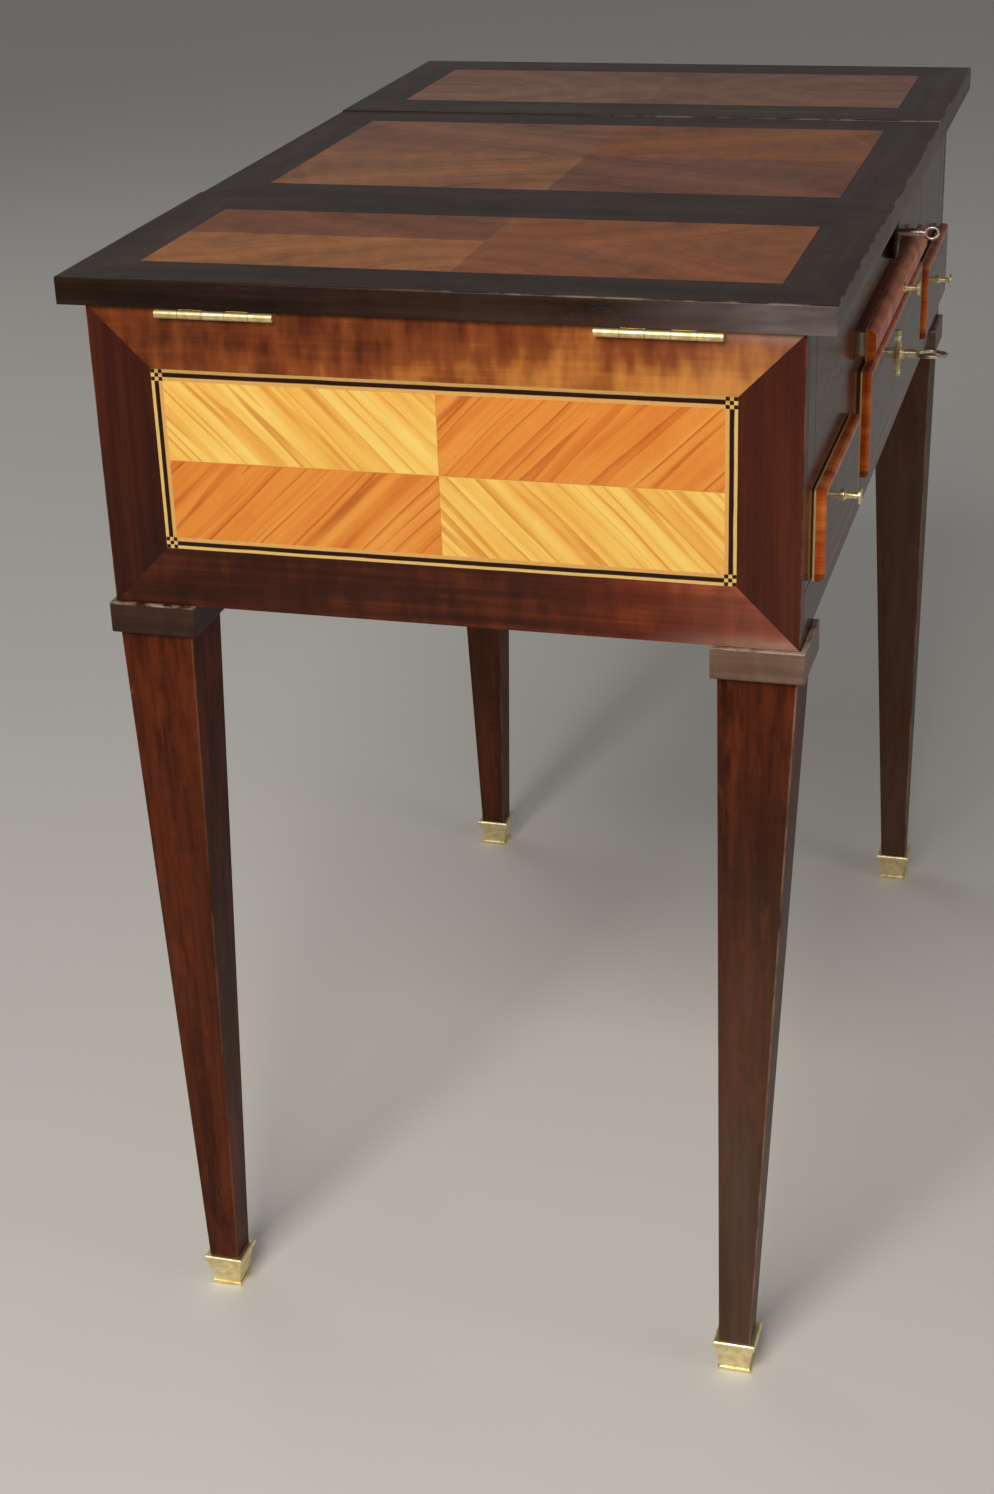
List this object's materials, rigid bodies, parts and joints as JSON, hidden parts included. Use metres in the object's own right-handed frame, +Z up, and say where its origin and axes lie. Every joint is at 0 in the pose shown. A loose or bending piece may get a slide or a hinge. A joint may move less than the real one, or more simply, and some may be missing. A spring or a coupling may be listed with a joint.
{
  "type": "poudreuse dressing table",
  "caption": "Rectangular dressing table on square tapered legs with brass shoes, hinged lids over wells and a mirror, a pull-out slide and small drawers below.",
  "frame": {"origin": "on the floor under the middle of the whole object's bounding box, keys and hinge knuckles included", "axes": "+X to the right of somebody who faces the front, -Y out of the front, +Z up"},
  "size_m": [0.7644, 0.4902, 0.74],
  "materials": {
    "lid_veneer": "french polished quarter-matched veneer in dark frames",
    "end_veneer": "french polished quarter-matched tulipwood and rosewood with stringing",
    "front_veneer": "french polished crossbanded veneer",
    "tulipwood_edging": "polished",
    "back_veneer": "satin",
    "leg_wood": "french polished",
    "carcase_wood": "bare, dry",
    "brass": "worn polish",
    "dark_bronze": "patinated dark",
    "steel": "worn",
    "mirror_silver": "polished"
  },
  "bodies": {
    "case": {"case_back": "back_veneer", "case_bottom": "carcase_wood", "case_end_left": "end_veneer", "case_end_right": "end_veneer", "drawer_guides": "carcase_wood", "false_fronts": "front_veneer", "front_frieze": "front_veneer", "front_rail": "front_veneer", "front_stiles": "front_veneer", "hinge_leaves_case": "brass", "hinge_pins": "brass", "hinge_screws_case": "brass", "leg_back_left": "leg_wood", "leg_back_right": "leg_wood", "leg_collars": "leg_wood", "leg_front_left": "leg_wood", "leg_front_right": "leg_wood", "leg_shoes": "brass", "lid_escutcheon": "dark_bronze", "lid_lock_case": "steel", "partitions": "carcase_wood", "runners_centre": "carcase_wood", "runners_side": "carcase_wood", "slide_bed": "front_veneer", "well_floors": "carcase_wood"},
    "left_lid": {"lid_left": "lid_veneer", "hinge_leaves_lid_left": "brass", "hinge_screws_lid_left": "brass"},
    "right_lid": {"lid_right": "lid_veneer", "hinge_leaves_lid_right": "brass", "hinge_screws_lid_right": "brass"},
    "centre_lid": {"lid_centre": "lid_veneer", "hinge_leaves_lid_centre": "brass", "hinge_screws_lid_centre": "brass", "mirror_glass": "mirror_silver", "mirror_bead": "leg_wood", "lid_strike": "brass"},
    "slide": {"slide_board": "carcase_wood", "slide_lip": "tulipwood_edging", "slide_knob": "brass"},
    "left_drawer": {"drawer_left_front": "front_veneer", "drawer_left_sides": "carcase_wood", "drawer_left_back": "carcase_wood", "drawer_left_bottom": "carcase_wood", "drawer_left_knob": "brass"},
    "right_drawer": {"drawer_right_front": "front_veneer", "drawer_right_sides": "carcase_wood", "drawer_right_back": "carcase_wood", "drawer_right_bottom": "carcase_wood", "drawer_right_knob": "brass"},
    "centre_drawer": {"drawer_centre_front": "front_veneer", "drawer_centre_sides": "carcase_wood", "drawer_centre_back": "carcase_wood", "drawer_centre_bottom": "carcase_wood", "drawer_escutcheon": "brass", "drawer_lock_case": "steel"},
    "drawer_bolt": {"drawer_lock_bolt": "brass"},
    "drawer_key_turn": {"drawer_key": "steel"},
    "lid_bolt": {"lid_lock_bolt": "brass"},
    "lid_key_turn": {"lid_key": "steel"}
  },
  "joints": [
    {"name": "left_lid_hinge", "type": "hinge", "parent": "case", "child": "left_lid", "pos_m": [-0.3795, 0.0131, 0.7199], "axis": [0, -1, 0], "range_deg": [0, 180]},
    {"name": "right_lid_hinge", "type": "hinge", "parent": "case", "child": "right_lid", "pos_m": [0.3795, 0.0131, 0.7199], "axis": [0, 1, 0], "range_deg": [0, 180]},
    {"name": "centre_lid_hinge", "type": "hinge", "parent": "case", "child": "centre_lid", "pos_m": [0, 0.2311, 0.7199], "axis": [-1, 0, 0], "range_deg": [0, 100]},
    {"name": "slide_pull", "type": "slide", "parent": "case", "child": "slide", "axis": [0, -1, 0], "range_m": [-0.0036, 0.2]},
    {"name": "left_drawer_slide", "type": "slide", "parent": "case", "child": "left_drawer", "axis": [0, -1, 0], "range_m": [-0.0006, 0.28]},
    {"name": "centre_drawer_slide", "type": "slide", "parent": "case", "child": "centre_drawer", "axis": [0, -1, 0], "range_m": [-0.0012, 0.28]},
    {"name": "right_drawer_slide", "type": "slide", "parent": "case", "child": "right_drawer", "axis": [0, -1, 0], "range_m": [-0.0014, 0.28]},
    {"name": "drawer_key_turn", "type": "hinge", "parent": "centre_drawer", "child": "drawer_key_turn", "pos_m": [0, -0.2031, 0.6069], "axis": [0, 1, 0], "range_deg": [0, 90]},
    {"name": "drawer_bolt_slide", "type": "slide", "parent": "centre_drawer", "child": "drawer_bolt", "axis": [0, 0, 1], "range_m": [0, 0.005]},
    {"name": "lid_key_turn", "type": "hinge", "parent": "case", "child": "lid_key_turn", "pos_m": [0, -0.2019, 0.692], "axis": [0, 1, 0], "range_deg": [0, 90]},
    {"name": "lid_bolt_slide", "type": "slide", "parent": "case", "child": "lid_bolt", "axis": [0, 0, 1], "range_m": [0, 0.005]}
  ],
  "couplings": [
    {"joint": "drawer_key_turn", "follows": "drawer_bolt_slide", "rad_per_m": 314.16},
    {"joint": "lid_key_turn", "follows": "lid_bolt_slide", "rad_per_m": 314.16}
  ]
}
